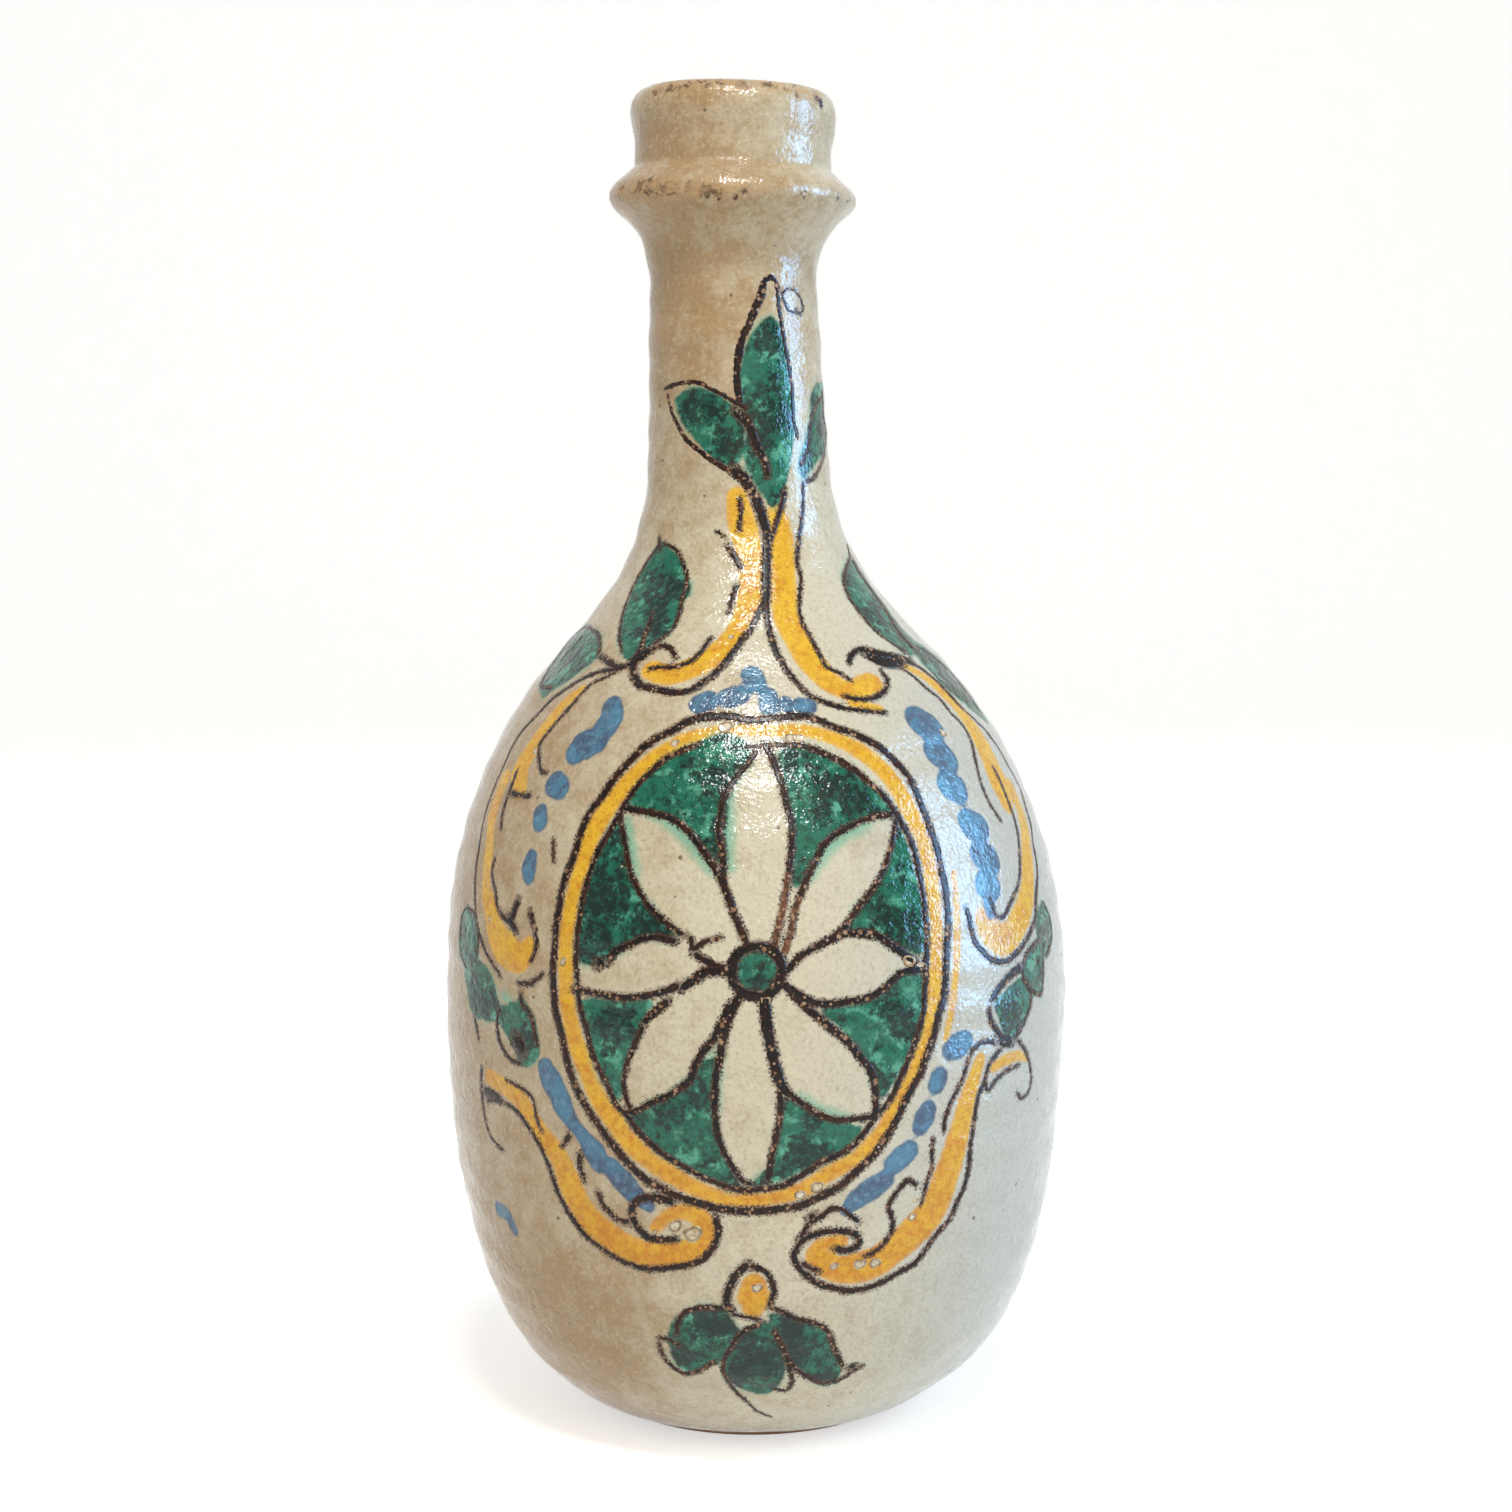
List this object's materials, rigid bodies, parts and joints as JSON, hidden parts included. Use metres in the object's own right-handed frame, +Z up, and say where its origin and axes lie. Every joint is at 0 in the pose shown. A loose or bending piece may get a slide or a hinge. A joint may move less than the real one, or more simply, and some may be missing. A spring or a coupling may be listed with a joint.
{
  "type": "bottle",
  "caption": "Tin-glazed earthenware bottle with a round belly, a slim neck with a ring below the mouth, and brush-painted scrolls round a rosette.",
  "frame": {"origin": "on the standing plane, under the centre of the belly", "axes": "+Z up through the neck; the painted side faces -Y; +X is to the right when facing the painted side"},
  "size_m": [0.1248, 0.1248, 0.2644],
  "materials": {
    "clay": "matte",
    "painted_glaze": "gloss",
    "plain_glaze": "gloss"
  },
  "bodies": {
    "root": {"lower_body": "clay", "upper_body": "clay", "neck_tube": "clay", "neck_ring": "clay", "mouth_collar": "clay", "outer_glaze": "painted_glaze", "inner_glaze": "plain_glaze"}
  },
  "joints": []
}
